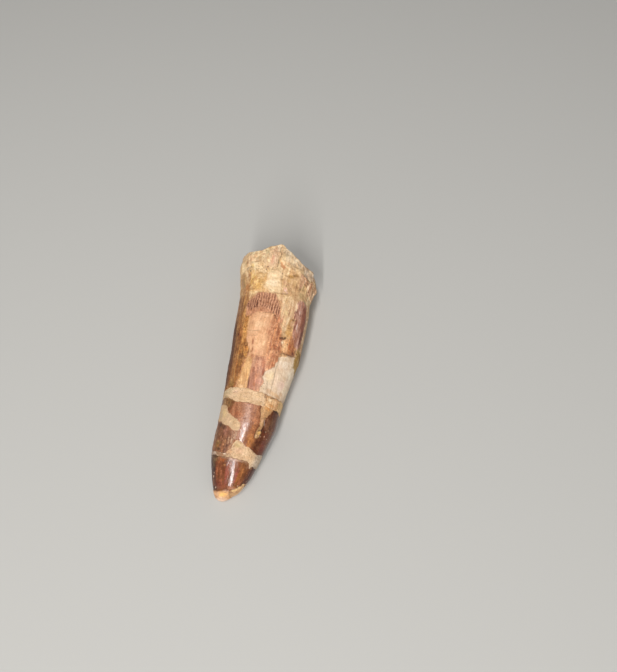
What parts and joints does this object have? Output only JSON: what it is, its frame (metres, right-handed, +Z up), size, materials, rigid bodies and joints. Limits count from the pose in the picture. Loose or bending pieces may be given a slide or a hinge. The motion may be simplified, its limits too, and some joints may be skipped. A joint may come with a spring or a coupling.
{
  "type": "fossil dinosaur tooth",
  "caption": "Conical fossil dinosaur tooth lying on its side, with a glossy brown enamel crown mended with sandy filler bands and a pale broken root.",
  "frame": {"origin": "bottom centre of the bounding box, on the plane that the tooth lies on", "axes": "+Z up from the surface that the tooth lies on, +Y along the tooth from its tip to its root, +X across it, to the right seen from above with the root away from the viewer"},
  "size_m": [0.0218, 0.0666, 0.0159],
  "materials": {
    "crown_enamel": "glossy reddish-brown fossil enamel with fine lengthwise grain, chipped to cream dentine",
    "repair_filler": "matte sand-coloured repair filler, sand in glue, granular",
    "root_dentine": "worn peach and pink-brown enamel over tan and cream dentine, satin to matte"
  },
  "bodies": {
    "root": {"tip_fragment": "crown_enamel", "lower_filler": "repair_filler", "mid_crown_fragment": "crown_enamel", "upper_filler": "repair_filler", "crown_base_and_root": "root_dentine"}
  },
  "joints": []
}
